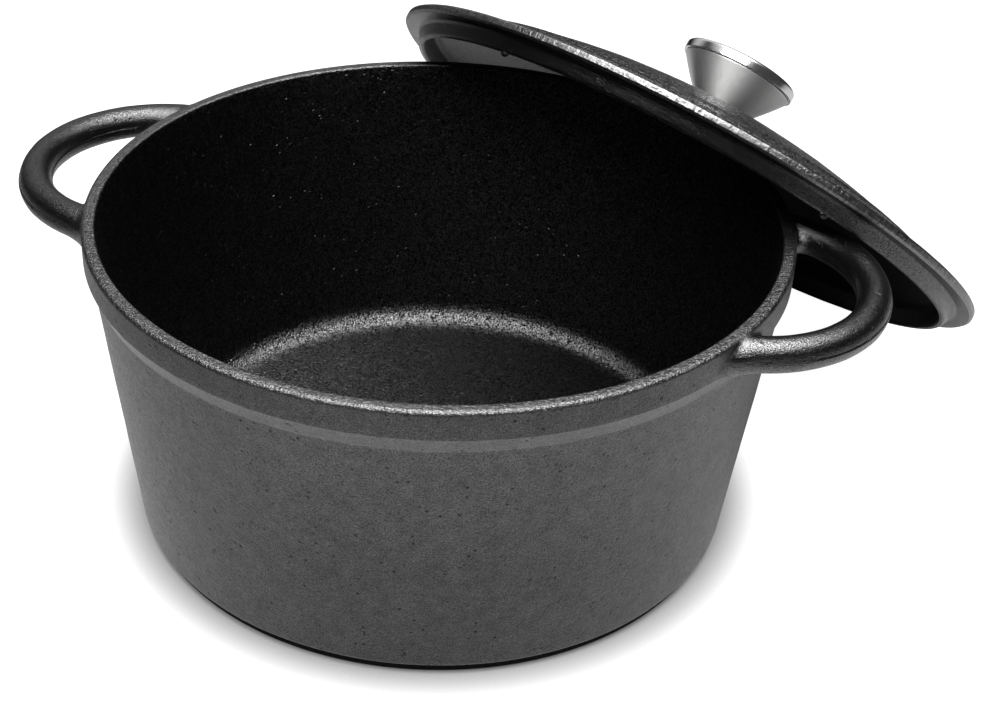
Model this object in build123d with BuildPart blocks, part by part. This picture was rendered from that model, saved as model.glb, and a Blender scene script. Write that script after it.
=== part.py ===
from build123d import *
import math
import os

# Cast iron dutch oven, about 4.7 L, with its lid propped against it.
# Frame: origin at the centre of the flat underside of the pot, +Z up,
# the two loop handles lie along the X axis. All sizes in millimetres.

# ---------------------------------------------------------------- pot, driving sizes
POT_HEIGHT = 123.0        # flat base to rim
RIM_R_IN = 125.0          # bore at the rim
BAND_R = 130.0            # outside of the thickened rim band
BAND_BOTTOM_Z = 112.3     # where the band starts to slope in
STEP_R = 127.1            # wall radius under the band
STEP_Z = 105.8
WALL_SLOPE = 0.120        # mm of radius per mm of height
FOOT_R = 112.6            # flat base disc
FOOT_H = 3.4              # height of the base disc
HEEL_R = 2.2              # the wall rounds in to the base disc
FLOOR_T = 5.8             # thickness of the pot floor
WALL_T = 4.2              # wall thickness
FLOOR_FILLET = 10.0       # inside corner
RIM_ROUND = 1.7           # outer edge of the rim
RIM_ROUND_IN = 0.9        # inner edge of the rim

# ---------------------------------------------------------------- loop handles
LOOP_X = 114.0            # centre of each loop, inside the wall
LOOP_HALF = 45.6          # centreline radius of the loop
LOOP_Z = 116.0            # height of the loop's centre plane
BAR_R = 6.3               # bar radius
ROOT_START = 66.0         # angle round the loop where the bar starts to flare
ROOT_END = 90.0           # angle where it is buried in the wall
ROOT_FLARE = 4.6          # how much wider the bar is there

# ---------------------------------------------------------------- lid, in its own axis system
# r from the lid's axis, h up from the underside of its flange
LID_R = 132.5             # outside of the flange
LID_EDGE_H = 3.6          # height of the flange's side face
DOME_H = 29.56            # top of the dome
DOME_C = 0.001618         # dome: h = DOME_H - DOME_C * r^2
PLATE_T = 4.0             # plate thickness
RING_R_OUT = 124.9        # locating ring, outer lower corner
RING_R_IN = 121.0         # locating ring, inner lower edge
RING_H = 5.6              # depth of the ring under the flange

# rest pose of the lid: edge on the ground, leaning over the right handle
LID_X, LID_Y, LID_Z = 66.7, 121.4, 89.75
LID_TILT = 42.70          # degrees from upright
LID_AZ = 65.51            # direction the lid's axis leans to

# ---------------------------------------------------------------- knob, on the lid's axis
KNOB_SEAT_H = 29.2        # machined flat on the crown
SEAL_T = 0.8
SHELL_T = 1.1             # spun stainless wall
KNOB_BASE_R = 9.0
KNOB_NECK_H = 47.6        # groove between shell and cap
KNOB_NECK_R = 24.2
CAP_R = 25.1
CAP_H = 52.4              # top of the band
CAP_CROWN = 0.55          # the cap is very slightly domed
SCREW_R = 2.95            # M6
SCREW_TOP_H = 42.5
INSERT_R = 4.6

os.makedirs("parts", exist_ok=True)


def save(ctx, name):
    """label the finished piece and write it"""
    ctx.part.label = name
    export_step(ctx.part, "parts/" + name + ".step")
    bb = ctx.part.bounding_box()
    print(f"{name:14s} solids {len(ctx.part.solids())} volume {ctx.part.volume/1000:9.2f} cm3 "
          f"x {bb.min.X:8.2f} {bb.max.X:8.2f} y {bb.min.Y:8.2f} {bb.max.Y:8.2f} z {bb.min.Z:8.2f} {bb.max.Z:8.2f}")


# ---------------------------------------------------------------- 1 pot with both loop handles, one casting
heel_r = STEP_R - WALL_SLOPE * (STEP_Z - FOOT_H)
in_bot_r = RIM_R_IN - WALL_SLOPE * (POT_HEIGHT - FLOOR_T) - 0.6



def loop_plane(sx, sy, angle):
    """section plane across the loop's bar, at an angle round the loop"""
    c, s = math.cos(math.radians(angle)), math.sin(math.radians(angle))
    return Plane(
        origin=(sx * (LOOP_X + LOOP_HALF * c), sy * LOOP_HALF * s, LOOP_Z),
        x_dir=(sx * c, sy * s, 0), z_dir=(-sx * s, sy * c, 0),
    )


with BuildPart() as pot:
    # solid outside form
    with BuildSketch(Plane.XZ) as pot_outside:
        with BuildLine():
            o1 = FilletPolyline(
                (0, 0), (FOOT_R, 0), (FOOT_R, FOOT_H), (heel_r, FOOT_H), (STEP_R, STEP_Z),
                (BAND_R, BAND_BOTTOM_Z), (BAND_R, POT_HEIGHT), (0, POT_HEIGHT),
                radius=[0.5, 0.04, HEEL_R, 3.0, 1.5, RIM_ROUND],
            )
            Line(o1 @ 1, o1 @ 0)
        make_face()
    revolve(axis=Axis.Z)
    # loop handles: a ring of round bar each side, half of it buried in the wall
    for side in (1, -1):
        with BuildSketch(Plane.XZ.offset(0)) as bar:
            with Locations((side * (LOOP_X + LOOP_HALF), LOOP_Z)):
                Circle(BAR_R)
        revolve(axis=Axis((side * LOOP_X, 0, 0), (0, 0, 1)))
    # each root flares out where the bar runs into the band
    for sx in (1, -1):
        for sy in (1, -1):
            with BuildSketch(loop_plane(sx, sy, ROOT_START)):
                Circle(BAR_R - 0.02)
            with BuildSketch(loop_plane(sx, sy, (ROOT_START + ROOT_END) / 2)):
                Ellipse(BAR_R + 0.9, BAR_R + 0.1)
            with BuildSketch(loop_plane(sx, sy, ROOT_END)):
                Ellipse(BAR_R + ROOT_FLARE, BAR_R + 0.45)
            loft()
    # hollow: tapered bore with a rounded floor corner
    with BuildSketch(Plane.XZ) as hollow:
        with BuildLine():
            i1 = FilletPolyline(
                (0, FLOOR_T), (in_bot_r, FLOOR_T), (RIM_R_IN, POT_HEIGHT - RIM_ROUND_IN), radius=[FLOOR_FILLET],
            )
            i2 = ThreePointArc(
                i1 @ 1,
                (RIM_R_IN + RIM_ROUND_IN * (1 - math.sqrt(0.5)), POT_HEIGHT - RIM_ROUND_IN * (1 - math.sqrt(0.5))),
                (RIM_R_IN + RIM_ROUND_IN, POT_HEIGHT),
            )
            Polyline(i2 @ 1, (RIM_R_IN + RIM_ROUND_IN, POT_HEIGHT + 8), (0, POT_HEIGHT + 8), i1 @ 0)
        make_face()
    revolve(axis=Axis.Z, mode=Mode.SUBTRACT)
save(pot, "pot")

# ---------------------------------------------------------------- lid axis system
tilt = math.radians(LID_TILT)
az = math.radians(LID_AZ)
lid_n = Vector(math.sin(tilt) * math.cos(az), math.sin(tilt) * math.sin(az), math.cos(tilt))
lid_d = Vector(math.cos(tilt) * math.cos(az), math.cos(tilt) * math.sin(az), -math.sin(tilt))
lid_o = Vector(LID_X, LID_Y, LID_Z)
lid_flat = Plane(origin=lid_o, x_dir=lid_d, z_dir=lid_n)                      # the flange's plane
lid_cut = Plane(origin=lid_o, x_dir=lid_d, z_dir=-(lid_n.cross(lid_d)))        # a plane through the axis
lid_axis = Axis(lid_o, lid_n)


def dome(r, drop=0.0):
    """height of the dome at radius r, drop below its outer face"""
    return DOME_H - drop - DOME_C * r * r


# ---------------------------------------------------------------- 2 lid, one casting
with BuildPart() as lid:
    with BuildSketch(lid_cut) as lid_section:
        with BuildLine():
            # crown and dome, then the turned steps near the edge
            l1 = Line((0, dome(11.0)), (11.0, dome(11.0)))
            l2 = Spline([(r, dome(r)) for r in (11.0, 35, 60, 80, 95, 104.2)])
            l3 = Polyline(
                (104.2, dome(104.2)), (105.4, dome(105.4) + 0.35), (107.6, dome(107.6) + 0.45),
                (108.8, dome(108.8)), (112.0, dome(112.0)), (112.6, dome(112.6) - 0.55),
                (113.4, dome(113.4) - 0.5), (113.8, dome(113.8)), (118.6, dome(118.6) - 0.1),
                (119.8, dome(119.8) - 0.9), (120.7, 4.75), (122.4, 4.3), (131.6, LID_EDGE_H),
                (LID_R, LID_EDGE_H - 0.8), (LID_R, 0.5), (132.0, 0), (126.3, 0),
                (125.3, -0.35), (RING_R_OUT, -0.95), (RING_R_OUT - 1.7, -RING_H + 0.6),
                (RING_R_OUT - 2.3, -RING_H), (RING_R_IN + 0.3, -RING_H), (RING_R_IN - 0.4, -RING_H + 0.7),
                (RING_R_IN - 2.2, 1.2), (RING_R_IN - 4.0, dome(RING_R_IN - 4.0, PLATE_T)),
            )
            l4 = Spline([(r, dome(r, PLATE_T)) for r in (RING_R_IN - 4.0, 100, 80, 60, 40, 20, 12)])
            l5 = Polyline((12, dome(12, PLATE_T)), (12, dome(12, PLATE_T) - 0.6), (0, dome(12, PLATE_T) - 0.6), (0, dome(11.0)))
        make_face()
    revolve(axis=lid_axis)
    # spot face on the crown and screw hole through the middle
    with BuildSketch(lid_flat.offset(KNOB_SEAT_H)):
        Circle(9.8)
    extrude(amount=4, mode=Mode.SUBTRACT)
    with BuildSketch(lid_flat.offset(10)):
        Circle(3.4)
    extrude(amount=30, mode=Mode.SUBTRACT)
save(lid, "lid")
boss_h = dome(12, PLATE_T) - 0.6        # underside seat of the washers

# ---------------------------------------------------------------- 3 seal washer under the knob
with BuildPart() as knob_seal:
    with BuildSketch(lid_flat.offset(KNOB_SEAT_H)):
        Circle(9.1)
        Circle(3.4, mode=Mode.SUBTRACT)
    extrude(amount=SEAL_T)
save(knob_seal, "knob_seal")

shell_h = KNOB_SEAT_H + SEAL_T          # bottom of the knob
slope = (KNOB_NECK_R - KNOB_BASE_R) / (KNOB_NECK_H - shell_h)


def cone(h, inset=0.0):
    """radius of the flared knob at height h"""
    t = (h - shell_h) / (KNOB_NECK_H - shell_h)
    return KNOB_BASE_R + (KNOB_NECK_R - KNOB_BASE_R) * t + 0.55 * math.sin(math.pi * t) - inset


# ---------------------------------------------------------------- 4 flared knob shell, spun stainless
with BuildPart() as knob_shell:
    with BuildSketch(lid_cut) as shell_section:
        with BuildLine():
            hs = [shell_h + 1.2 + (KNOB_NECK_H - shell_h - 1.2) * i / 5 for i in range(6)]
            s1 = Spline([(cone(h), h) for h in hs])
            s2 = Polyline(
                (cone(hs[-1]), hs[-1]), (KNOB_NECK_R - 0.45, KNOB_NECK_H + 0.2),
                (KNOB_NECK_R - 1.7, KNOB_NECK_H + 0.2), (cone(hs[-1], SHELL_T * 1.45), hs[-1]),
            )
            s3 = Spline([(cone(h, SHELL_T * 1.45), h) for h in reversed(hs)])
            s4 = Polyline(
                (cone(hs[0], SHELL_T * 1.45), hs[0]), (3.4, shell_h + 1.2), (3.4, shell_h),
                (cone(shell_h) - 0.2, shell_h), (cone(hs[0]), hs[0]),
            )
        make_face()
    revolve(axis=lid_axis)
save(knob_shell, "knob_shell")

# ---------------------------------------------------------------- 5 heat-proof core inside the shell
with BuildPart() as knob_core:
    with BuildSketch(lid_cut) as core_section:
        with BuildLine():
            hc = [shell_h + 1.3 + (KNOB_NECK_H - shell_h - 1.3) * i / 5 for i in range(6)]
            c1 = Spline([(cone(h, SHELL_T * 1.45 + 0.12), h) for h in hc])
            c2 = Polyline(
                (cone(hc[-1], SHELL_T * 1.45 + 0.12), hc[-1]), (KNOB_NECK_R - 1.9, KNOB_NECK_H + 0.5),
                (KNOB_NECK_R - 1.9, KNOB_NECK_H + 1.9), (0, KNOB_NECK_H + 1.9), (0, SCREW_TOP_H + 2.5),
                (INSERT_R, SCREW_TOP_H + 2.5), (INSERT_R, shell_h + 1.3), (cone(hc[0], SHELL_T * 1.45 + 0.12), hc[0]),
            )
        make_face()
    revolve(axis=lid_axis)
save(knob_core, "knob_core")

# ---------------------------------------------------------------- 6 brass threaded insert in the core
with BuildPart() as knob_insert:
    with BuildSketch(lid_flat.offset(shell_h + 1.3)):
        Circle(INSERT_R - 0.02)
        Circle(SCREW_R + 0.05, mode=Mode.SUBTRACT)
    extrude(amount=SCREW_TOP_H + 1.0 - shell_h - 1.3)
save(knob_insert, "knob_insert")

# ---------------------------------------------------------------- 7 cap with its turned band
with BuildPart() as knob_cap:
    with BuildSketch(lid_cut) as cap_section:
        with BuildLine():
            a1 = Polyline(
                (0, CAP_H - 1.3 + CAP_CROWN), (0, CAP_H + CAP_CROWN),
            )
            a2 = Spline([(0, CAP_H + CAP_CROWN), (10, CAP_H + CAP_CROWN * 0.82), (CAP_R - 0.9, CAP_H)], tangents=[(1, 0), (1, -0.08)])
            a3 = Polyline(
                (CAP_R - 0.9, CAP_H), (CAP_R - 0.25, CAP_H - 0.3), (CAP_R, CAP_H - 0.8), (CAP_R, KNOB_NECK_H + 0.75),
                (CAP_R - 0.3, KNOB_NECK_H + 0.45), (KNOB_NECK_R - 1.75, KNOB_NECK_H + 0.45),
                (KNOB_NECK_R - 1.75, CAP_H - 1.3), (0, CAP_H - 1.3 + CAP_CROWN),
            )
        make_face()
    revolve(axis=lid_axis)
save(knob_cap, "knob_cap")

# ---------------------------------------------------------------- 8, 9 flat washer and spring lock washer under the lid
with BuildPart() as flat_washer:
    with BuildSketch(lid_flat.offset(boss_h - 1.6)):
        Circle(6.0)
        Circle(3.2, mode=Mode.SUBTRACT)
    extrude(amount=1.6)
save(flat_washer, "flat_washer")

with BuildPart() as lock_washer:
    with BuildSketch(lid_flat.offset(boss_h - 3.2)):
        Circle(5.6)
        Circle(3.1, mode=Mode.SUBTRACT)
        with Locations((4.4, 0)):
            Rectangle(4, 0.9, rotation=25, mode=Mode.SUBTRACT)
    extrude(amount=1.6)
save(lock_washer, "lock_washer")

# ---------------------------------------------------------------- 10 knob screw, pan head with a cross slot
with BuildPart() as knob_screw:
    with BuildSketch(lid_flat.offset(boss_h - 3.2)):
        Circle(5.5)
    extrude(amount=-3.6)
    head = knob_screw.edges().filter_by(GeomType.CIRCLE).filter_by(lambda e: abs(e.radius - 5.5) < 0.01)
    under = [e for e in head if (e.arc_center - lid_o).dot(lid_n) < boss_h - 5]
    fillet(under, radius=1.6)
    with BuildSketch(lid_flat.offset(boss_h - 3.2)):
        Circle(SCREW_R)
    extrude(amount=SCREW_TOP_H - boss_h + 3.2)
    with BuildSketch(lid_flat.offset(boss_h - 3.2 - 3.6)):
        Rectangle(6.4, 1.2)
        Rectangle(1.2, 6.4)
    extrude(amount=1.8, mode=Mode.SUBTRACT)
save(knob_screw, "knob_screw")
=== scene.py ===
import math
import bmesh
import bpy
import numpy as np
from mathutils import Matrix, Vector, noise


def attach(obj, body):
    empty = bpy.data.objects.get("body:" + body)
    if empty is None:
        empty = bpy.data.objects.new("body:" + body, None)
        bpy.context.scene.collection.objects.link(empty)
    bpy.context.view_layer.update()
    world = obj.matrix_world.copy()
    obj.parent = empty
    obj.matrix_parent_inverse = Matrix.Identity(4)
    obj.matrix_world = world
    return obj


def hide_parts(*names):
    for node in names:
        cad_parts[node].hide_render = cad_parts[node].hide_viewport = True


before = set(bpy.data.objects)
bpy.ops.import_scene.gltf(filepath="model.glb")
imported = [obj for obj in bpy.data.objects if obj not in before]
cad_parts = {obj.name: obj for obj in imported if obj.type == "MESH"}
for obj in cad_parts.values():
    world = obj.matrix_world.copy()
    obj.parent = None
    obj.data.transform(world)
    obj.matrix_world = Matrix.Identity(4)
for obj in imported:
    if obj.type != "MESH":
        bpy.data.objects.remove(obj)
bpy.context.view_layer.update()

scene = bpy.context.scene
MM = 0.001

# ------------------------------------------------------------------ camera
# one fixed camera: 70 mm lens on a 36 mm wide sensor, looking down 33 degrees
PITCH, YAW, ROLL, PHI = 0.5802061755, 0.0367621731, 0.0509834050, 0.3064
cam_pos = Vector((187.25, -591.88, 466.34)) * MM
heading = YAW - PHI
fw = Vector((math.sin(heading) * math.cos(PITCH), math.cos(heading) * math.cos(PITCH), -math.sin(PITCH)))
right = Vector((math.cos(heading), -math.sin(heading), 0.0))
up = right.cross(fw)
r2 = right * math.cos(ROLL) + up * math.sin(ROLL)
u2 = -right * math.sin(ROLL) + up * math.cos(ROLL)
cam_data = bpy.data.cameras.new("camera")
cam_data.lens = 69.98
cam_data.sensor_width = 36.0
cam_data.sensor_fit = "HORIZONTAL"
cam_data.clip_start = 0.01
cam_data.clip_end = 50.0
cam = bpy.data.objects.new("camera", cam_data)
scene.collection.objects.link(cam)
cam.matrix_world = Matrix(((r2.x, u2.x, -fw.x, cam_pos.x), (r2.y, u2.y, -fw.y, cam_pos.y),
                           (r2.z, u2.z, -fw.z, cam_pos.z), (0, 0, 0, 1)))
scene.camera = cam


# ------------------------------------------------------------------ profile helpers (mm)
def rounded(points, seg=5, step=2.6):
    """polyline of (r, z, fillet radius) to a dense list of (r, z)"""
    out = []
    n = len(points)
    for i, p in enumerate(points):
        rad = p[2] if len(p) > 2 else 0.0
        v = np.array(p[:2], float)
        if rad <= 0 or i in (0, n - 1):
            out.append(v)
            continue
        a = np.array(points[i - 1][:2], float) - v
        b = np.array(points[i + 1][:2], float) - v
        la, lb = np.linalg.norm(a), np.linalg.norm(b)
        a, b = a / la, b / lb
        ang = math.acos(max(-1, min(1, float(a @ b))))
        t = min(rad / math.tan(ang / 2), la * 0.98, lb * 0.98)
        rad = t * math.tan(ang / 2)
        c = v + (a + b) / np.linalg.norm(a + b) * (rad / math.sin(ang / 2))
        p0, p1 = v + a * t, v + b * t
        a0 = math.atan2(*(p0 - c)[::-1])
        a1 = math.atan2(*(p1 - c)[::-1])
        d = (a1 - a0 + math.pi) % (2 * math.pi) - math.pi
        k = max(2, int(seg * abs(d) / (math.pi / 2)) + 1)
        for j in range(k + 1):
            w = a0 + d * j / k
            out.append(c + rad * np.array([math.cos(w), math.sin(w)]))
    dense = [out[0]]
    for q in out[1:]:
        d = np.linalg.norm(q - dense[-1])
        if d < 1e-6:
            continue
        m = int(d / step) + 1
        p = dense[-1]
        for j in range(1, m + 1):
            dense.append(p + (q - p) * j / m)
    return np.array(dense)


def revolve_mesh(name, prof, nseg, place=None, wobble=None):
    """closed surface of revolution; prof starts and ends on the axis; place maps (x, y, z) mm arrays"""
    inner = prof[1:-1]
    th = np.arange(nseg) * 2 * math.pi / nseg
    x = inner[:, 0][:, None] * np.cos(th)[None]
    y = inner[:, 0][:, None] * np.sin(th)[None]
    z = np.repeat(inner[:, 1][:, None], nseg, 1)
    P = np.stack([x, y, z], -1).reshape(-1, 3)
    P = np.vstack([P, [[0, 0, prof[0, 1]], [0, 0, prof[-1, 1]]]])
    m = len(inner)
    faces = []
    for i in range(m - 1):
        a = i * nseg
        for j in range(nseg):
            k = (j + 1) % nseg
            faces.append((a + j, a + k, a + nseg + k, a + nseg + j))
    b0, b1 = m * nseg, m * nseg + 1
    for j in range(nseg):
        k = (j + 1) % nseg
        faces.append((b0, k, j))
        faces.append((b1, (m - 1) * nseg + j, (m - 1) * nseg + k))
    if wobble is not None:
        P = wobble(P)
    if place is not None:
        P = place(P)
    me = bpy.data.meshes.new(name)
    me.from_pydata((P * MM).tolist(), [], faces)
    me.validate()
    me.update()
    return me


def cast_noise(P, seed, amps=((26.0, 0.10), (9.0, 0.045), (3.6, 0.02))):
    """small unevenness of a sand casting, mm, one value per point"""
    out = np.zeros(len(P))
    for s, a in amps:
        off = Vector((seed * 1.7, seed * 0.9, -seed))
        out += a * np.array([noise.noise(Vector(p) / s + off) for p in P])
    return out


def link(me, name, smooth=True):
    ob = bpy.data.objects.new(name, me)
    scene.collection.objects.link(ob)
    if smooth:
        me.polygons.foreach_set("use_smooth", [True] * len(me.polygons))
    return ob


# ------------------------------------------------------------------ pot body (mm)
POT_H = 123.0
POT_OUT = [(0, 0), (112.6, 0, 0.6), (112.6, 3.4, 0.25), (114.81, 3.4, 2.1), (127.1, 105.8, 3.5), (129.88, 112.1, 1.0), (129.95, 122.98, 1.8)]
POT_IN = [(125.0, 122.98, 0.85), (110.35, 5.8, 10.0), (0, 5.8)]
pot_prof = rounded(POT_OUT + POT_IN, seg=7)


def profile_sdf(R, Z, prof):
    """signed distance to the closed profile polygon in the (r, z) half plane, mm"""
    P = np.stack([R, Z], -1)
    a, b = prof[:-1], prof[1:]
    ab = b - a
    L2 = (ab ** 2).sum(1) + 1e-12
    best = np.full(len(P), 1e9)
    inside = np.zeros(len(P), bool)
    for i in range(len(a)):
        t = np.clip(((P - a[i]) @ ab[i]) / L2[i], 0, 1)
        d = np.hypot(P[:, 0] - a[i, 0] - t * ab[i, 0], P[:, 1] - a[i, 1] - t * ab[i, 1])
        best = np.minimum(best, d)
    poly = np.vstack([prof, prof[:1]])
    for i in range(len(poly) - 1):
        p, q = poly[i], poly[i + 1]
        c = ((p[1] > P[:, 1]) != (q[1] > P[:, 1])) & (P[:, 0] < (q[0] - p[0]) * (P[:, 1] - p[1]) / (q[1] - p[1] + 1e-12) + p[0])
        inside ^= c
    return np.where(inside, -best, best)


# a coarse solid outline near the band is enough for the blends
blend_prof = rounded([(100, 60), (121.6, 60), (127.1, 105.8, 9.0), (129.85, 112.3, 3.0), (129.95, 122.98, 1.75), (100, 122.98)], seg=5, step=40)

LOOP_X, LOOP_R, LOOP_Z = 114.0, 45.5, 115.95


def bar_section():
    """points (q, z) round the loop's bar: round top, squarer drafted lower half, and the small mismatch of the mould's two halves"""
    pts = []
    n = 13
    for i in range(n + 1):
        w = math.radians(4 + (172.0) * i / n)
        pts.append((6.12 * math.cos(w), 6.3 * math.sin(w)))
    pts += [(-6.14, 0.22), (-6.36, 0.05)]
    for i in range(n + 1):
        w = math.radians(184 + 172.0 * i / n)
        c, s = math.cos(w), math.sin(w)
        e = 2 / 2.35
        pts.append((6.42 * math.copysign(abs(c) ** e, c), 6.25 * math.copysign(abs(s) ** e, s)))
    pts += [(6.36, 0.05), (6.14, 0.22)]
    return np.array(pts)


SECT = bar_section()
_sa = np.unwrap(np.arctan2(SECT[:, 1], SECT[:, 0]))
_sr = np.hypot(SECT[:, 0], SECT[:, 1])
_o = np.argsort(_sa % (2 * math.pi))
_ta = (_sa % (2 * math.pi))[_o]
_tr = _sr[_o]


def f_bar(P):
    q = np.hypot(P[:, 0] - LOOP_X, P[:, 1]) - LOOP_R
    z = P[:, 2] - LOOP_Z
    a = np.arctan2(z, q) % (2 * math.pi)
    return np.hypot(q, z) - np.interp(a, _ta, _tr, period=2 * math.pi)


def f_wall(P):
    return profile_sdf(np.hypot(P[:, 0], P[:, 1]), P[:, 2], blend_prof)


def f_union(P):
    d1, d2 = f_bar(P), f_wall(P)
    s = np.clip((121.6 - P[:, 2]) / 5.0, 0, 1)
    k = 1.2 + 6.6 * s * s * (3 - 2 * s)
    h = np.clip(0.5 + 0.5 * (d2 - d1) / k, 0, 1)
    f = d2 * (1 - h) + d1 * h - k * h * (1 - h)
    return np.maximum(f, P[:, 2] - 122.75)


def grad(f, P, e=0.02):
    g = np.zeros_like(P)
    for i in range(3):
        d = np.zeros(3)
        d[i] = e
        g[:, i] = (f(P + d) - f(P - d)) / (2 * e)
    return g


def onto(f, P, it=6, damp=1.0):
    for _ in range(it):
        v = f(P)
        g = grad(f, P)
        P = P - damp * (v / ((g ** 2).sum(1) + 1e-9))[:, None] * g
    return P


def loop_points(theta):
    """ring of the bar at angle theta round the loop (right-hand handle)"""
    c, s = math.cos(theta), math.sin(theta)
    q = LOOP_R + SECT[:, 0]
    return np.stack([LOOP_X + q * c, q * s, LOOP_Z + SECT[:, 1]], -1)


def root_rings(sign):
    """rings from clear bar to the wall, for the root on the side y * sign > 0"""
    n = len(SECT)
    th = np.zeros(n)
    lo, hi = np.full(n, math.radians(40.0)), np.full(n, math.radians(100.0))
    q = LOOP_R + SECT[:, 0]

    def at(t):
        return np.stack([LOOP_X + q * np.cos(t), sign * q * np.sin(t), LOOP_Z + SECT[:, 1]], -1)
    for _ in range(40):                       # where each line of the bar meets the wall
        mid = (lo + hi) / 2
        f = f_wall(at(mid))
        # bars whose top passes just under the rim still meet the wall
        ins = f < 0
        hi = np.where(ins, mid, hi)
        lo = np.where(ins, lo, mid)
    t_int = hi
    # bar side: from a common clear station to the meeting line
    t_clear = math.radians(52.0)
    rings = []
    m1 = 12
    for i in range(m1 + 1):
        u = i / m1
        u = 1 - (1 - u) ** 1.3
        rings.append(at(t_clear + (t_int - t_clear) * u))
    X = rings[-1]
    gw = grad(f_wall, X)
    gw /= np.linalg.norm(gw, axis=1)[:, None] + 1e-9
    cen = X.mean(0)
    # outward direction on the wall, away from the bar's axis
    c, s = np.cos(t_int), sign * np.sin(t_int)
    nrm = np.stack([SECT[:, 0] * c, SECT[:, 0] * s, SECT[:, 1]], -1)
    nrm /= np.linalg.norm(nrm, axis=1)[:, None]
    T = nrm - (nrm * gw).sum(1)[:, None] * gw
    T /= np.linalg.norm(T, axis=1)[:, None] + 1e-9
    top = np.clip((SECT[:, 1] - 2.0) / 4.0, 0, 1)
    reach = 9.0 * (1 - top) + 1.6 * top
    reach = np.convolve(np.r_[reach[-3:], reach, reach[:3]], np.ones(7) / 7, "valid")
    m2 = 9
    W = X.copy()
    walk = []
    for i in range(1, m2 + 1):
        W = W + T * (reach / m2)[:, None]
        W = onto(f_wall, W, 2)
        gw = grad(f_wall, W)
        gw /= np.linalg.norm(gw, axis=1)[:, None] + 1e-9
        T = T - (T * gw).sum(1)[:, None] * gw
        T /= np.linalg.norm(T, axis=1)[:, None] + 1e-9
        walk.append(W.copy())
    rings += walk
    out = []
    for i, R in enumerate(rings):
        out.append(R if i == 0 else onto(f_union, R.copy(), 7, 0.9))
    # even out the net, keeping it on the blended surface
    A = np.array(out)
    for _ in range(24):
        B = 0.4 * A[1:-1] + 0.15 * (A[:-2] + A[2:] + np.roll(A, 1, 1)[1:-1] + np.roll(A, -1, 1)[1:-1])
        A[1:-1] = onto(f_union, B.reshape(-1, 3), 2, 0.9).reshape(B.shape)
    out = list(A)
    # the last rings sink into the wall, the very last one deep enough to close the shell out of sight
    for k, sink in ((-3, 0.01), (-2, 0.05), (-1, 0.14)):
        g = grad(f_wall, out[k])
        g /= np.linalg.norm(g, axis=1)[:, None]
        out[k] = out[k] - g * sink
    out.append(out[-1] - g * 1.3)
    return out


def handle_geometry():
    ra = root_rings(1)
    rb = root_rings(-1)
    rings = list(reversed(ra))
    n_mid = 58
    t0 = math.radians(52.0)
    for i in range(1, n_mid):
        rings.append(loop_points(t0 - 2 * t0 * i / n_mid))
    rings += rb
    return np.array(rings)


hr = handle_geometry()
n_ring, n_sec = hr.shape[:2]


def handle_faces(flip):
    faces = []
    for i in range(n_ring - 1):
        for j in range(n_sec):
            k = (j + 1) % n_sec
            f = (i * n_sec + j, i * n_sec + k, (i + 1) * n_sec + k, (i + 1) * n_sec + j)
            faces.append(f[::-1] if flip else f)
    c0, c1 = n_ring * n_sec, n_ring * n_sec + 1
    for j in range(n_sec):
        k = (j + 1) % n_sec
        f = (c0, k, j)
        g = (c1, (n_ring - 1) * n_sec + j, (n_ring - 1) * n_sec + k)
        faces.append(f[::-1] if flip else f)
        faces.append(g[::-1] if flip else g)
    return faces


def make_pot():
    def wob(P):
        d = cast_noise(P, 3.0)
        R = np.hypot(P[:, 0], P[:, 1]) + 1e-9
        # machined rim and flat base stay true
        keep = np.clip((POT_H - 0.4 - P[:, 2]) / 2.0, 0, 1) * np.clip(P[:, 2] / 3.0, 0, 1)
        sgn = np.where(R > 126.2, -1.0, 1.0)
        Q = P.copy()
        dd = (d - 0.12) * keep
        Q[:, 0] += P[:, 0] / R * dd * np.where(R > 100, 1, 0)
        Q[:, 1] += P[:, 1] / R * dd * np.where(R > 100, 1, 0)
        Q[:, 2] += np.where((R <= 100) & (P[:, 2] > 3), d * 0.8, 0)
        return Q
    body = revolve_mesh("pot_body", pot_prof, 288, wobble=wob)
    me = bpy.data.meshes.new("pot_mesh")
    bm = bmesh.new()
    bm.from_mesh(body)
    for side in (1, -1):
        P = hr.reshape(-1, 3)
        P = np.vstack([P, [[124.0 + 3.2, 0, 0]] * 2])
        e = hr[0].mean(0), hr[-1].mean(0)
        for idx, c in ((-2, e[0]), (-1, e[1])):
            R = math.hypot(c[0], c[1])
            P[idx] = (c[0] * 127.3 / R, c[1] * 127.3 / R, 115.0)
        nz = cast_noise(P * np.array([side, 1, 1]), 7.0, ((14.0, 0.10), (5.0, 0.05)))
        cx = np.stack([P[:, 0] - LOOP_X, P[:, 1]], -1)
        q = np.hypot(cx[:, 0], cx[:, 1])[:, None]
        axis = np.stack([LOOP_X + cx[:, 0] / q[:, 0] * LOOP_R, cx[:, 1] / q[:, 0] * LOOP_R, np.full(len(P), LOOP_Z)], -1)
        nn = P - axis
        nn /= np.linalg.norm(nn, axis=1)[:, None] + 1e-9
        Rp = np.hypot(P[:, 0], P[:, 1])
        far = np.clip((Rp - 133) / 6, 0, 1)
        # near the wall the root follows the wall's own unevenness
        near = np.clip((134 - Rp) / 4, 0, 1) * np.clip((POT_H - 0.4 - P[:, 2]) / 2.0, 0, 1)
        wd = (cast_noise(P * np.array([side, 1, 1]), 3.0) - 0.12) * near
        P = P + nn * ((nz - 0.08) * far)[:, None]
        P[:, :2] += P[:, :2] / Rp[:, None] * wd[:, None]
        if side < 0:
            P = P * np.array([-1, 1, 1])
        vs = [bm.verts.new((p * MM).tolist()) for p in P]
        for f in handle_faces(side < 0):
            bm.faces.new([vs[i] for i in f])
    bm.normal_update()
    bm.to_mesh(me)
    bm.free()
    return me


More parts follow.
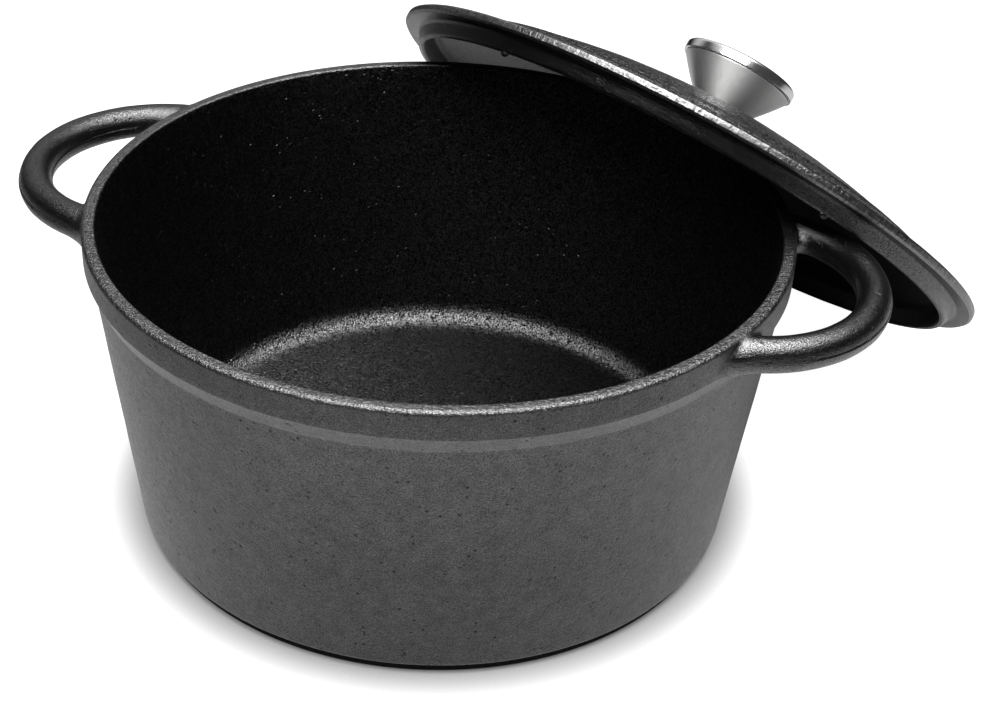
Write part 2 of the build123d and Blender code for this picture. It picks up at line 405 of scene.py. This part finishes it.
pot_me = make_pot()
pot = link(pot_me, "pot_casting")

# ------------------------------------------------------------------ lid (mm, r from its axis, h up from the flange's underside)
LID_O = Vector((66.7, 121.4, 89.75))
LT, LA = math.radians(42.70), math.radians(65.51)
lid_n = Vector((math.sin(LT) * math.cos(LA), math.sin(LT) * math.sin(LA), math.cos(LT)))
lid_d = Vector((math.cos(LT) * math.cos(LA), math.cos(LT) * math.sin(LA), -math.sin(LT)))
lid_e = lid_n.cross(lid_d)
LM = np.array([lid_d, lid_e, lid_n])            # rows


def lid_place(P):
    return P @ LM + np.array(LID_O)


def dome(r, drop=0.0):
    return 29.56 - drop - 0.001618 * r * r


def lid_profile():
    pts = [(0, 24.75), (12, 24.75, 0.4), (12.6, dome(12.6, 4.0), 0.3)]
    for r in (30, 50, 70, 85, 100, 110):
        pts.append((r, dome(r, 4.0)))
    pts += [(117.1, dome(117.1, 4.0), 0.9), (118.9, 1.2, 1.2), (120.5, -4.75, 0.35), (121.2, -5.6, 0.35), (122.6, -5.6, 0.25),
            (123.25, -4.95, 0.3), (124.9, -0.9, 0.2), (125.9, 0.0, 0.25), (131.4, 0.0, 0.12), (132.45, 0.85, 0.12), (132.45, 2.9, 0.6),
            (131.4, 3.65, 0.5), (122.6, 4.3, 1.4), (120.7, 4.75, 0.7), (119.9, dome(119.9) - 0.75, 0.6), (118.7, dome(118.7) + 0.02, 0.6),
            (113.9, dome(113.9) + 0.05, 0.35), (113.4, dome(113.4) - 0.5, 0.25), (112.7, dome(112.7) - 0.5, 0.25), (112.1, dome(112.1) + 0.05, 0.35),
            (109.2, dome(109.2) + 0.02, 0.6), (107.9, dome(107.9) + 0.42, 0.6), (105.8, dome(105.8) + 0.4, 0.6), (104.5, dome(104.5) + 0.02, 0.6)]
    for r in (96, 88, 78, 66, 54, 42, 30, 20, 12):
        pts.append((r, dome(r)))
    pts += [(10.6, dome(10.6), 0.3), (9.9, 29.2, 0.2), (0, 29.2)]
    return rounded(pts, seg=5, step=2.6)


lid_prof = lid_profile()


def lid_wobble(P):
    d = cast_noise(P, 11.0)
    R = np.hypot(P[:, 0], P[:, 1])
    keep = np.clip((R - 14) / 10, 0, 1) * np.clip((132.2 - R) / 1.0, 0, 1)
    Q = P.copy()
    Q[:, 2] += (d - 0.03) * keep
    return Q


def lug_points(az_deg, r0=121.75, h0=-5.1, half=2.2, deep=2.15, thick=1.15, nu=18, nv=9):
    """small half-round lug on the lower edge of the ring, closed shell; returns points and faces"""
    P, F = [], []
    for i in range(1, nv):
        v = math.pi * i / nv
        for j in range(nu):
            u = 2 * math.pi * j / nu
            P.append((thick * math.sin(v) * math.cos(u), half * math.sin(v) * math.sin(u), -deep * math.cos(v)))
    P += [(0, 0, -deep), (0, 0, deep)]
    for i in range(nv - 2):
        for j in range(nu):
            k = (j + 1) % nu
            F.append((i * nu + j, i * nu + k, (i + 1) * nu + k, (i + 1) * nu + j))
    a, b = (nv - 1) * nu, (nv - 1) * nu + 1
    for j in range(nu):
        k = (j + 1) % nu
        F.append((a, k, j))
        F.append((b, (nv - 2) * nu + j, (nv - 2) * nu + k))
    P = np.array(P)
    c, s_ = math.cos(math.radians(az_deg)), math.sin(math.radians(az_deg))
    x = r0 + P[:, 0]
    Q = np.stack([x * c - P[:, 1] * s_, x * s_ + P[:, 1] * c, h0 + P[:, 2]], -1)
    return lid_place(Q), F


def make_lid():
    body = revolve_mesh("lid_body", lid_prof, 360, place=lid_place, wobble=lid_wobble)
    bm = bmesh.new()
    bm.from_mesh(body)
    for az_deg in (169.2, 235.2):
        P, F = lug_points(az_deg)
        vs = [bm.verts.new((p * MM).tolist()) for p in P]
        for f in F:
            bm.faces.new([vs[i] for i in f])
    bm.normal_update()
    me = bpy.data.meshes.new("lid_mesh")
    bm.to_mesh(me)
    bm.free()
    return me


lid_me = make_lid()
lid = link(lid_me, "lid_casting")


# ------------------------------------------------------------------ knob: turned shell and cap
def revolve_ring(name, prof, nseg, place):
    """closed surface of revolution from a closed profile that stays off the axis"""
    m = len(prof)
    th = np.arange(nseg) * 2 * math.pi / nseg
    x = prof[:, 0][:, None] * np.cos(th)[None]
    y = prof[:, 0][:, None] * np.sin(th)[None]
    z = np.repeat(prof[:, 1][:, None], nseg, 1)
    P = place(np.stack([x, y, z], -1).reshape(-1, 3))
    faces = []
    for i in range(m):
        a, b = i * nseg, ((i + 1) % m) * nseg
        for j in range(nseg):
            k = (j + 1) % nseg
            faces.append((a + j, a + k, b + k, b + j))
    me = bpy.data.meshes.new(name)
    me.from_pydata((P * MM).tolist(), [], faces)
    me.update()
    return me


def flare(h, inset=0.0):
    t = (h - 30.0) / 17.6
    return 9.0 + 15.2 * t + 0.55 * math.sin(math.pi * t) - inset


shell_pts = [(3.4, 31.3), (3.4, 30.0, 0.15), (8.7, 30.0, 0.35), (flare(30.9), 30.9, 0.3)]
shell_pts += [(flare(h), h) for h in np.linspace(31.8, 46.6, 13)]
shell_pts += [(24.12, 47.5, 0.12), (23.8, 47.85, 0.12), (22.6, 47.85, 0.1)]
shell_pts += [(flare(h, 1.6), h) for h in np.linspace(46.8, 31.3, 10)]
shell = link(revolve_ring("knob_shell_mesh", rounded(shell_pts, seg=5, step=1.2), 288, lid_place), "knob_shell_turned")
cap_pts = [(0, 51.65), (22.45, 51.1, 0.2), (22.45, 47.98, 0.1), (24.88, 47.98, 0.08), (25.1, 48.2, 0.1), (25.1, 51.4, 0.7),
           (24.4, 52.3, 0.7), (18.0, 52.62, 2.0), (10.0, 52.85, 3.0), (0, 52.95)]
cap = link(revolve_mesh("knob_cap_mesh", rounded(cap_pts, seg=7, step=1.2), 288, place=lid_place), "knob_cap_turned")

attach(pot, "pot")
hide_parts("pot")
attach(lid, "lid")
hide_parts("lid")
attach(shell, "lid")
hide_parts("knob_shell")
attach(cap, "lid")
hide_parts("knob_cap")


# ------------------------------------------------------------------ materials
def new_mat(name):
    m = bpy.data.materials.new(name)
    m.use_nodes = True
    nt = m.node_tree
    for nd in list(nt.nodes):
        nt.nodes.remove(nd)
    out = nt.nodes.new("ShaderNodeOutputMaterial")
    bs = nt.nodes.new("ShaderNodeBsdfPrincipled")
    nt.links.new(bs.outputs[0], out.inputs[0])
    return m, nt, bs


def coords(nt, scale=1.0):
    tc = nt.nodes.new("ShaderNodeTexCoord")
    return tc.outputs["Object"]


def noise_node(nt, vec, scale, detail=3.0, rough=0.55, dist=0.0):
    n = nt.nodes.new("ShaderNodeTexNoise")
    n.inputs["Scale"].default_value = scale
    n.inputs["Detail"].default_value = detail
    n.inputs["Roughness"].default_value = rough
    n.inputs["Distortion"].default_value = dist
    nt.links.new(vec, n.inputs["Vector"])
    return n


def ramp(nt, fac, stops):
    r = nt.nodes.new("ShaderNodeValToRGB")
    e = r.color_ramp.elements
    while len(e) > 1:
        e.remove(e[-1])
    e[0].position = stops[0][0]
    e[0].color = (*stops[0][1], 1) if isinstance(stops[0][1], tuple) else (stops[0][1],) * 3 + (1,)
    for p, c in stops[1:]:
        k = e.new(p)
        k.color = (*c, 1) if isinstance(c, tuple) else (c,) * 3 + (1,)
    nt.links.new(fac, r.inputs[0])
    return r


def math_node(nt, op, a, b=None, c=None, clamp=False):
    m = nt.nodes.new("ShaderNodeMath")
    m.operation = op
    m.use_clamp = clamp
    for i, v in enumerate((a, b, c)):
        if v is None:
            continue
        if isinstance(v, (int, float)):
            m.inputs[i].default_value = v
        else:
            nt.links.new(v, m.inputs[i])
    return m.outputs[0]


def mix_col(nt, fac, a, b):
    m = nt.nodes.new("ShaderNodeMix")
    m.data_type = "RGBA"
    for sock, v in ((m.inputs[0], fac), (m.inputs[6], a), (m.inputs[7], b)):
        if isinstance(v, (int, float)):
            sock.default_value = v
        elif isinstance(v, tuple):
            sock.default_value = (*v, 1)
        else:
            nt.links.new(v, sock)
    return m.outputs[2]


def cast_iron(name, base=0.011, ior=1.5, rough=(0.36, 0.54), bump=0.8, spec=(0.25, 0.75), grain=1.0, coarse=0.7, depth=0.0005, low_painted_shade=1.0, painted_highlight_zones=None, mottle=0.0, crisp=0.18, left_painted_shade=1.0):
    """dark seasoned iron: nearly black body, its look comes from a broken-up sheen"""
    m, nt, bs = new_mat(name)
    v = coords(nt)
    fine = noise_node(nt, v, 2100.0 * grain, 2.0, 0.6)
    mid = noise_node(nt, v, 620.0 * grain, 3.0, 0.6)
    big = noise_node(nt, v, 34.0, 4.0, 0.6)
    vor = nt.nodes.new("ShaderNodeTexVoronoi")
    vor.inputs["Scale"].default_value = 300.0
    vor.inputs["Randomness"].default_value = 1.0
    nt.links.new(v, vor.inputs["Vector"])
    pits = ramp(nt, vor.outputs["Distance"], [(0.0, 1.0), (0.14, 0.7), (0.24, 0.0)])
    sel = ramp(nt, noise_node(nt, v, 120.0, 1.0).outputs[0], [(0.50, 0.0), (0.60, 1.0)])
    pit = math_node(nt, "MULTIPLY", pits.outputs[0], sel.outputs[0])
    tone = ramp(nt, big.outputs[0], [(0.25, (base * 0.8, base * 0.8, base * 0.81)), (0.75, (base * 1.25, base * 1.25, base * 1.27))])
    col = mix_col(nt, pit, tone.outputs[0], (0.003, 0.003, 0.003))
    nt.links.new(col, bs.inputs["Base Color"])
    rg = ramp(nt, mid.outputs[0], [(0.3, rough[0]), (0.7, rough[1])])
    nt.links.new(rg.outputs[0], bs.inputs["Roughness"])
    bs.inputs["IOR"].default_value = ior
    # sheen broken up grain by grain, dull in the pits
    sp = ramp(nt, fine.outputs[0], [(0.5 - crisp, spec[0]), (0.5 + crisp, spec[1])])
    spm = math_node(nt, "MULTIPLY", sp.outputs[0], math_node(nt, "SUBTRACT", 1.0, math_node(nt, "MULTIPLY", pit, 0.85)))
    if low_painted_shade < 1.0:
        # painted shade: the sheen is cut to this factor low on the wall and rises to full near the rim, so the lower
        # wall reads darker
        sz = nt.nodes.new("ShaderNodeSeparateXYZ")
        nt.links.new(v, sz.inputs[0])
        mr = nt.nodes.new("ShaderNodeMapRange")
        nt.links.new(sz.outputs[2], mr.inputs[0])
        for k, x in zip((1, 2, 3, 4), (0.045, 0.100, low_painted_shade, 1.0)):
            mr.inputs[k].default_value = x
        spm = math_node(nt, "MULTIPLY", spm, mr.outputs[0])
    if painted_highlight_zones:
        # painted highlight by height: the sheen is scaled by a list of (height in mm up to 20, factor up to 5)
        sz = nt.nodes.new("ShaderNodeSeparateXYZ")
        nt.links.new(v, sz.inputs[0])
        zr = ramp(nt, math_node(nt, "MULTIPLY_ADD", sz.outputs[2], 50.0, math_node(nt, "MULTIPLY_ADD", mid.outputs[0], 0.06, -0.03)),
                  [(z / 20.0, f / 5.0) for z, f in painted_highlight_zones])
        zr.color_ramp.interpolation = "EASE"
        spm = math_node(nt, "MULTIPLY", spm, math_node(nt, "MULTIPLY", zr.outputs[0], 5.0))
    if left_painted_shade < 1.0:
        # painted shade: the sheen on the left handle (negative x) is cut to this factor, so it reads less lit than the
        # right one
        sx = nt.nodes.new("ShaderNodeSeparateXYZ")
        nt.links.new(v, sx.inputs[0])
        ml = nt.nodes.new("ShaderNodeMapRange")
        nt.links.new(sx.outputs[0], ml.inputs[0])
        for k, x in zip((1, 2, 3, 4), (-0.12, 0.12, left_painted_shade, 1.0)):
            ml.inputs[k].default_value = x
        spm = math_node(nt, "MULTIPLY", spm, ml.outputs[0])
    if mottle:
        mo = ramp(nt, noise_node(nt, v, 170.0, 3.0, 0.6).outputs[0], [(0.32, 1.0 - mottle), (0.66, 1.0)])
        spm = math_node(nt, "MULTIPLY", spm, mo.outputs[0])
    bs.inputs["Specular IOR Level"].default_value = 0.5 * (spec[0] + spec[1])
    nt.links.new(spm, bs.inputs["Specular IOR Level"])
    h = math_node(nt, "MULTIPLY_ADD", fine.outputs[0], 0.8, math_node(nt, "MULTIPLY", mid.outputs[0], coarse))
    h = math_node(nt, "SUBTRACT", h, math_node(nt, "MULTIPLY", pit, 0.8))
    bp = nt.nodes.new("ShaderNodeBump")
    bp.inputs["Strength"].default_value = bump
    bp.inputs["Distance"].default_value = depth
    nt.links.new(h, bp.inputs["Height"])
    nt.links.new(bp.outputs[0], bs.inputs["Normal"])
    return m


def lid_coords(nt, v, along=0.12):
    """(way round the lid's edge, height over its flange scaled by along, 0), metres"""
    sub = nt.nodes.new("ShaderNodeVectorMath")
    sub.operation = "SUBTRACT"
    nt.links.new(v, sub.inputs[0])
    sub.inputs[1].default_value = tuple(x * MM for x in LID_O)
    dots = []
    for ax in (lid_d, lid_e, lid_n):
        dp = nt.nodes.new("ShaderNodeVectorMath")
        dp.operation = "DOT_PRODUCT"
        nt.links.new(sub.outputs[0], dp.inputs[0])
        dp.inputs[1].default_value = tuple(ax)
        dots.append(dp.outputs["Value"])
    com = nt.nodes.new("ShaderNodeCombineXYZ")
    nt.links.new(math_node(nt, "MULTIPLY", math_node(nt, "ARCTAN2", dots[1], dots[0]), 0.1325), com.inputs[0])
    nt.links.new(math_node(nt, "MULTIPLY", dots[2], along), com.inputs[1])
    return com.outputs[0]


def bare_iron(name, f0=0.14, rough=(0.30, 0.44), bump=0.8, streak=False):
    """iron ground free of its dark skin: grey metal with grains and grinding marks left in it"""
    m, nt, bs = new_mat(name)
    v = coords(nt)
    fine = noise_node(nt, v, 1500.0, 2.0, 0.6)
    mid = noise_node(nt, v, 520.0, 3.0, 0.6)
    fac, h = fine.outputs[0], fine.outputs[0]
    if streak:
        st = noise_node(nt, lid_coords(nt, v), 900.0, 3.0, 0.65)
        fac = math_node(nt, "ADD", math_node(nt, "MULTIPLY", st.outputs[0], 0.6), math_node(nt, "MULTIPLY", fine.outputs[0], 0.4))
        h = fac
    col = ramp(nt, fac, [(0.34, f0 * 0.35), (0.50, f0), (0.66, f0 * 1.8)])
    nt.links.new(col.outputs[0], bs.inputs["Base Color"])
    bs.inputs["Metallic"].default_value = 1.0
    rg = ramp(nt, mid.outputs[0], [(0.3, rough[0]), (0.7, rough[1])])
    nt.links.new(rg.outputs[0], bs.inputs["Roughness"])
    bp = nt.nodes.new("ShaderNodeBump")
    bp.inputs["Strength"].default_value = bump
    bp.inputs["Distance"].default_value = 0.0005
    nt.links.new(math_node(nt, "ADD", math_node(nt, "MULTIPLY", h, 0.9), math_node(nt, "MULTIPLY", mid.outputs[0], 1.1)), bp.inputs["Height"])
    nt.links.new(bp.outputs[0], bs.inputs["Normal"])
    return m


# the wall iron's sheen carries painted shade low on the wall
iron = cast_iron("cast_iron_surface", base=0.0015, rough=(0.32, 0.44), bump=0.55, spec=(0.22, 1.10), low_painted_shade=0.70, mottle=0.28)
ground = bare_iron("ground_rim_surface", f0=0.060)
# the bore: a darker copy of the wall iron, painted shade, with a painted highlight on the floor's fillet, brightest
# about 7 to 9.5 mm up
bore_shade_and_highlight = cast_iron("bore_iron_shade_and_highlight_surface", base=0.0005, rough=(0.24, 0.33), bump=0.8, spec=(0.0, 0.68), grain=0.68, depth=0.0006, crisp=0.10,
                 painted_highlight_zones=[(5.0, 1.4), (6.2, 1.45), (7.2, 2.2), (9.4, 2.1), (12.5, 1.15), (15.5, 1.0)])
# painted shade: the foot ring gets a much darker, duller sheen than the wall
foot_painted_shade = cast_iron("foot_iron_painted_shade_surface", base=0.002, ior=1.35, rough=(0.5, 0.7), bump=0.6, spec=(0.0, 0.15))
band_iron = cast_iron("band_iron_surface", base=0.0015, rough=(0.32, 0.44), bump=0.55, spec=(0.22, 1.0), mottle=0.24)
# painted highlight: the sloped step under the band gets a copy of the wall iron with a stronger sheen, so it reads
# brighter
slope_painted_sheen = cast_iron("slope_iron_painted_sheen_surface", base=0.0015, rough=(0.30, 0.42), bump=0.45, spec=(0.40, 1.45), mottle=0.2)
lid_top = cast_iron("lid_top_surface", base=0.001, rough=(0.22, 0.32), bump=1.0, spec=(0.0, 0.95), grain=0.75, coarse=0.6, depth=0.0009, crisp=0.11)
lid_under = cast_iron("lid_inside_surface", base=0.001, ior=1.3, rough=(0.28, 0.40), bump=0.35, spec=(0.0, 0.9))
lid_ring = cast_iron("lid_ring_surface", base=0.001, rough=(0.15, 0.25), bump=0.6, spec=(0.0, 0.9), coarse=0.4)
flange_edge = bare_iron("ground_flange_surface", f0=0.115, rough=(0.26, 0.37), bump=0.7, streak=True)
# handle iron; painted shade dulls the left handle's sheen
handle_iron = cast_iron("handle_iron_surface", base=0.001, rough=(0.17, 0.26), bump=0.55, spec=(0.15, 1.15), grain=0.9, coarse=0.3, depth=0.0005, left_painted_shade=0.72)
for me in (pot_me, lid_me):
    for m in (iron, ground, bore_shade_and_highlight, foot_painted_shade, band_iron, lid_top, lid_under, flange_edge, lid_ring, handle_iron,
              slope_painted_sheen):
        me.materials.append(m)


def by_place(me, rule):
    """material slot for every face from its centre, mm"""
    n = len(me.polygons)
    c = np.empty(n * 3)
    me.polygons.foreach_get("center", c)
    idx = rule(c.reshape(-1, 3) / MM)
    me.polygons.foreach_set("material_index", idx.astype(np.int32))
    me.update()


def pot_rule(C):
    R = np.hypot(C[:, 0], C[:, 1])
    idx = np.zeros(len(C), int)
    # the bore gets the darker copy with painted shade and the painted fillet highlight
    bore_r = 125.0 - 0.125 * (122.98 - C[:, 2])
    idx[(R < bore_r + 0.6) & (C[:, 2] > 3.0)] = 2
    idx[(C[:, 2] > 112.4) & (R > 129.0) & (R < 131.0)] = 4
    # the sloped step under the band, with its painted stronger sheen
    idx[(C[:, 2] > 105.7) & (C[:, 2] < 112.2) & (R > 126.0) & (R < 130.4)] = 10
    idx[(R > 130.6) & (C[:, 2] > 80)] = 9
    idx[(C[:, 2] > 121.85) & (R > 124.9) & (R < 129.9)] = 1
    # the foot ring, with its painted dark sheen
    idx[(C[:, 2] < 3.35)] = 3
    return idx


def lid_rule(C):
    L = (C - np.array(LID_O)) @ LM.T
    R, H = np.hypot(L[:, 0], L[:, 1]), L[:, 2]
    idx = np.full(len(C), 6)
    top = H > np.where(R > 121, 3.0, dome(R, 2.2))
    idx[top] = 5
    idx[(R > 131.3) & (H > 0.02)] = 7
    idx[(R > 121.0) & (R < 131.3) & (H < 0.3)] = 8
    return idx


by_place(pot_me, pot_rule)
by_place(lid_me, lid_rule)


def steel(name, colour, r0, r1, scale=900.0, metallic=1.0, bump=0.04, aniso=0.0):
    """aniso > 0: turned on a lathe about the lid's axis, so the sheen stretches along that axis"""
    m, nt, bs = new_mat(name)
    v = coords(nt)
    n1 = noise_node(nt, v, scale, 3.0, 0.6)
    n2 = noise_node(nt, v, 60.0, 3.0, 0.6)
    c = ramp(nt, n2.outputs[0], [(0.3, tuple(x * 0.92 for x in colour)), (0.7, colour)])
    nt.links.new(c.outputs[0], bs.inputs["Base Color"])
    r = ramp(nt, n1.outputs[0], [(0.3, r0), (0.7, r1)])
    nt.links.new(r.outputs[0], bs.inputs["Roughness"])
    bs.inputs["Metallic"].default_value = metallic
    if aniso:
        bs.inputs["Anisotropic"].default_value = aniso
        ax = nt.nodes.new("ShaderNodeVectorTransform")
        ax.vector_type = "VECTOR"
        ax.convert_from = "OBJECT"
        ax.convert_to = "WORLD"
        ax.inputs[0].default_value = tuple(lid_n)
        nt.links.new(ax.outputs[0], bs.inputs["Tangent"])
    bp = nt.nodes.new("ShaderNodeBump")
    bp.inputs["Strength"].default_value = bump
    bp.inputs["Distance"].default_value = 0.0002
    nt.links.new(n1.outputs[0], bp.inputs["Height"])
    nt.links.new(bp.outputs[0], bs.inputs["Normal"])
    return m


mats = {
    "knob_shell": steel("satin_steel_surface", (0.83, 0.825, 0.82), 0.40, 0.48, bump=0.08, aniso=0.65),
    "knob_cap": steel("polished_steel_surface", (0.80, 0.80, 0.80), 0.12, 0.18, bump=0.06),
    "knob_insert": steel("brass_surface", (0.60, 0.42, 0.16), 0.25, 0.35),
    "knob_screw": steel("screw_surface", (0.50, 0.50, 0.50), 0.22, 0.34),
    "flat_washer": steel("washer_surface", (0.48, 0.48, 0.47), 0.28, 0.40),
    "lock_washer": steel("lock_washer_surface", (0.36, 0.36, 0.36), 0.30, 0.42),
    "knob_core": steel("core_surface", (0.02, 0.02, 0.02), 0.5, 0.6, metallic=0.0, bump=0.1),
    "knob_seal": steel("seal_surface", (0.02, 0.02, 0.02), 0.55, 0.7, metallic=0.0, bump=0.1),
}
for nname, m in mats.items():
    if nname in ("knob_shell", "knob_cap"):
        continue
    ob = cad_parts[nname]
    ob.data.materials.clear()
    ob.data.materials.append(m)
shell.data.materials.append(mats["knob_shell"])
cap.data.materials.append(mats["knob_cap"])

# ------------------------------------------------------------------ stage and light
floor_me = bpy.data.meshes.new("floor")
s = 6.0
floor_me.from_pydata([(-s, -s, 0), (s, -s, 0), (s, s, 0), (-s, s, 0)], [], [(0, 1, 2, 3)])
floor = bpy.data.objects.new("floor", floor_me)
scene.collection.objects.link(floor)
floor.location.z = -0.0002
fm, fnt, fbs = new_mat("floor_white")
fbs.inputs["Base Color"].default_value = (0.118, 0.118, 0.118, 1)
fbs.inputs["Roughness"].default_value = 0.8
fbs.inputs["Specular IOR Level"].default_value = 0.1
fbs.inputs["Emission Color"].default_value = (1, 1, 1, 1)
# white table that glows evenly as the camera sees it, with a painted contact shadow: an ambient-occlusion ramp darkens
# the glow right where something stands on it
ao = fnt.nodes.new("ShaderNodeAmbientOcclusion")
ao.samples = 8
ao.inputs["Distance"].default_value = 0.018
painted_contact_shadow = ramp(fnt, ao.outputs["AO"], [(0.28, 0.05), (0.55, 0.27), (0.78, 0.60), (0.94, 0.90), (1.0, 1.0)])
# painted light and shade in what the floor sends to the object: a glowing pool, brightest on the lamp side in front,
# with painted shade under the lid and next to the pot
ao2 = fnt.nodes.new("ShaderNodeAmbientOcclusion")
ao2.samples = 4
ao2.inputs["Distance"].default_value = 0.25
painted_open_sky_shade = ramp(fnt, ao2.outputs["AO"], [(0.12, 0.03), (0.40, 0.54), (0.62, 0.82), (0.85, 1.0)])
ftc = fnt.nodes.new("ShaderNodeTexCoord")
fsp = fnt.nodes.new("ShaderNodeSeparateXYZ")
fnt.links.new(ftc.outputs["Object"], fsp.inputs[0])


def frange(v, a, b, c, d):
    m = fnt.nodes.new("ShaderNodeMapRange")
    m.interpolation_type = "SMOOTHSTEP"
    fnt.links.new(v, m.inputs[0])
    for k, x in zip((1, 2, 3, 4), (a, b, c, d)):
        m.inputs[k].default_value = x
    return m.outputs[0]


# the painted contact shadow stays close round the pot: the lid's low edge leaves no painted shade on the glowing table
rad = math_node(fnt, "SQRT", math_node(fnt, "ADD", math_node(fnt, "MULTIPLY", fsp.outputs[0], fsp.outputs[0]),
                                       math_node(fnt, "MULTIPLY", fsp.outputs[1], fsp.outputs[1])))
fnt.links.new(math_node(fnt, "MAXIMUM", painted_contact_shadow.outputs[0], frange(rad, 0.150, 0.165, 0.0, 1.0)), fbs.inputs["Emission Strength"])
# painted pool of light: brightest in front, dimmer behind and towards both sides
painted_light_pool = math_node(fnt, "MULTIPLY", frange(fsp.outputs[1], -0.05, 0.45, 1.74, 0.60), frange(fsp.outputs[0], -0.35, 0.02, 0.34, 1.0))
painted_light_pool = math_node(fnt, "MULTIPLY", painted_light_pool, frange(fsp.outputs[0], 0.04, 0.38, 1.0, 0.78))
# painted shade under the leaning lid
ux = math_node(fnt, "SUBTRACT", fsp.outputs[0], 0.085)
uy = math_node(fnt, "SUBTRACT", fsp.outputs[1], 0.165)
lid_painted_shade_dist = math_node(fnt, "SQRT", math_node(fnt, "ADD", math_node(fnt, "MULTIPLY", ux, ux), math_node(fnt, "MULTIPLY", uy, uy)))
painted_light_pool = math_node(fnt, "MULTIPLY", painted_light_pool, frange(lid_painted_shade_dist, 0.05, 0.17, 0.12, 1.0))
# the painted pool of light fades out some way from the pot
painted_light_pool = math_node(fnt, "MULTIPLY", painted_light_pool, frange(rad, 0.40, 0.80, 1.0, 0.05))
em = fnt.nodes.new("ShaderNodeEmission")
fnt.links.new(math_node(fnt, "MULTIPLY", painted_light_pool, painted_open_sky_shade.outputs[0]), em.inputs["Strength"])
lp = fnt.nodes.new("ShaderNodeLightPath")
mixs = fnt.nodes.new("ShaderNodeMixShader")
fnt.links.new(lp.outputs["Is Camera Ray"], mixs.inputs[0])
fnt.links.new(em.outputs[0], mixs.inputs[1])
fnt.links.new(fbs.outputs[0], mixs.inputs[2])
fnt.links.new(mixs.outputs[0], next(n for n in fnt.nodes if n.type == "OUTPUT_MATERIAL").inputs[0])
floor_me.materials.append(fm)

world = bpy.data.worlds.new("studio")
scene.world = world
world.use_nodes = True
wn = world.node_tree
bg = wn.nodes["Background"]
bg.inputs[0].default_value = (1, 1, 1, 1)
bg.inputs[1].default_value = 1.0
# studio: bright sweep behind, bright ceiling, dimmer to the front and sides near the horizon
geo = wn.nodes.new("ShaderNodeTexCoord")
sep = wn.nodes.new("ShaderNodeSeparateXYZ")
wn.links.new(geo.outputs["Generated"], sep.inputs[0])
dotn = wn.nodes.new("ShaderNodeVectorMath")
dotn.operation = "DOT_PRODUCT"
wn.links.new(geo.outputs["Generated"], dotn.inputs[0])
fh = Vector((fw.x, fw.y, 0)).normalized()
# the bright sweep stands a little to the camera's left
turn = math.radians(20.0)
dotn.inputs[1].default_value = (fh.x * math.cos(turn) - fh.y * math.sin(turn), fh.x * math.sin(turn) + fh.y * math.cos(turn), 0)


def wrange(v, a, b, c, d):
    m = wn.nodes.new("ShaderNodeMapRange")
    m.interpolation_type = "SMOOTHSTEP"
    wn.links.new(v, m.inputs[0])
    for k, x in zip((1, 2, 3, 4), (a, b, c, d)):
        m.inputs[k].default_value = x
    return m.outputs[0]


def wmath(op, a, b):
    m = wn.nodes.new("ShaderNodeMath")
    m.operation = op
    for k, x in enumerate((a, b)):
        if isinstance(x, (int, float)):
            m.inputs[k].default_value = x
        else:
            wn.links.new(x, m.inputs[k])
    return m.outputs[0]


level = wmath("SQRT", wmath("MAXIMUM", wmath("SUBTRACT", 1.0, wmath("MULTIPLY", sep.outputs["Z"], sep.outputs["Z"])), 0.02), 0.0)
ceiling = wrange(sep.outputs["Z"], 0.55, 0.90, 0.0, 1.0)
back = wmath("MULTIPLY", wrange(wmath("DIVIDE", dotn.outputs["Value"], level), 0.68, 0.95, 0.0, 1.0), wrange(sep.outputs["Z"], -0.10, 0.35, 0.0, 1.0))
sky = wmath("ADD", 0.05, wmath("MAXIMUM", wmath("MULTIPLY", ceiling, 0.95), wmath("MULTIPLY", back, 0.66)))
wlp = wn.nodes.new("ShaderNodeLightPath")
seen = wn.nodes.new("ShaderNodeMix")
wn.links.new(wlp.outputs["Is Camera Ray"], seen.inputs[0])
wn.links.new(sky, seen.inputs[2])
seen.inputs[3].default_value = 1.0
wn.links.new(seen.outputs[0], bg.inputs[1])


def area(name, pos, target, size, power, size_y=None):
    li = bpy.data.lights.new(name, "AREA")
    li.shape = "RECTANGLE"
    li.size = size
    li.size_y = size_y or size
    li.energy = power
    ob = bpy.data.objects.new(name, li)
    scene.collection.objects.link(ob)
    ob.location = pos
    d = Vector(target) - Vector(pos)
    ob.rotation_euler = d.to_track_quat("-Z", "Y").to_euler()
    return ob


# directions as seen from the camera's side
cam_az = math.atan2(cam_pos.y, cam_pos.x)


def around(az_deg, el_deg, dist, z0=0.08):
    a = cam_az - math.radians(az_deg)
    e = math.radians(el_deg)
    return (dist * math.cos(e) * math.cos(a), dist * math.cos(e) * math.sin(a), z0 + dist * math.sin(e))


area("key_softbox", around(26, 55, 1.5), (0.0, 0.0, 0.10), 1.40, 25.0, 0.45)
top = area("top_softbox", (0.21, -0.07, 1.42), (0.10, 0.0, 0.0), 1.5, 86.0, 1.5)
top.data.shape = "DISK"

scene.view_settings.view_transform = "Standard"
scene.view_settings.look = "None"
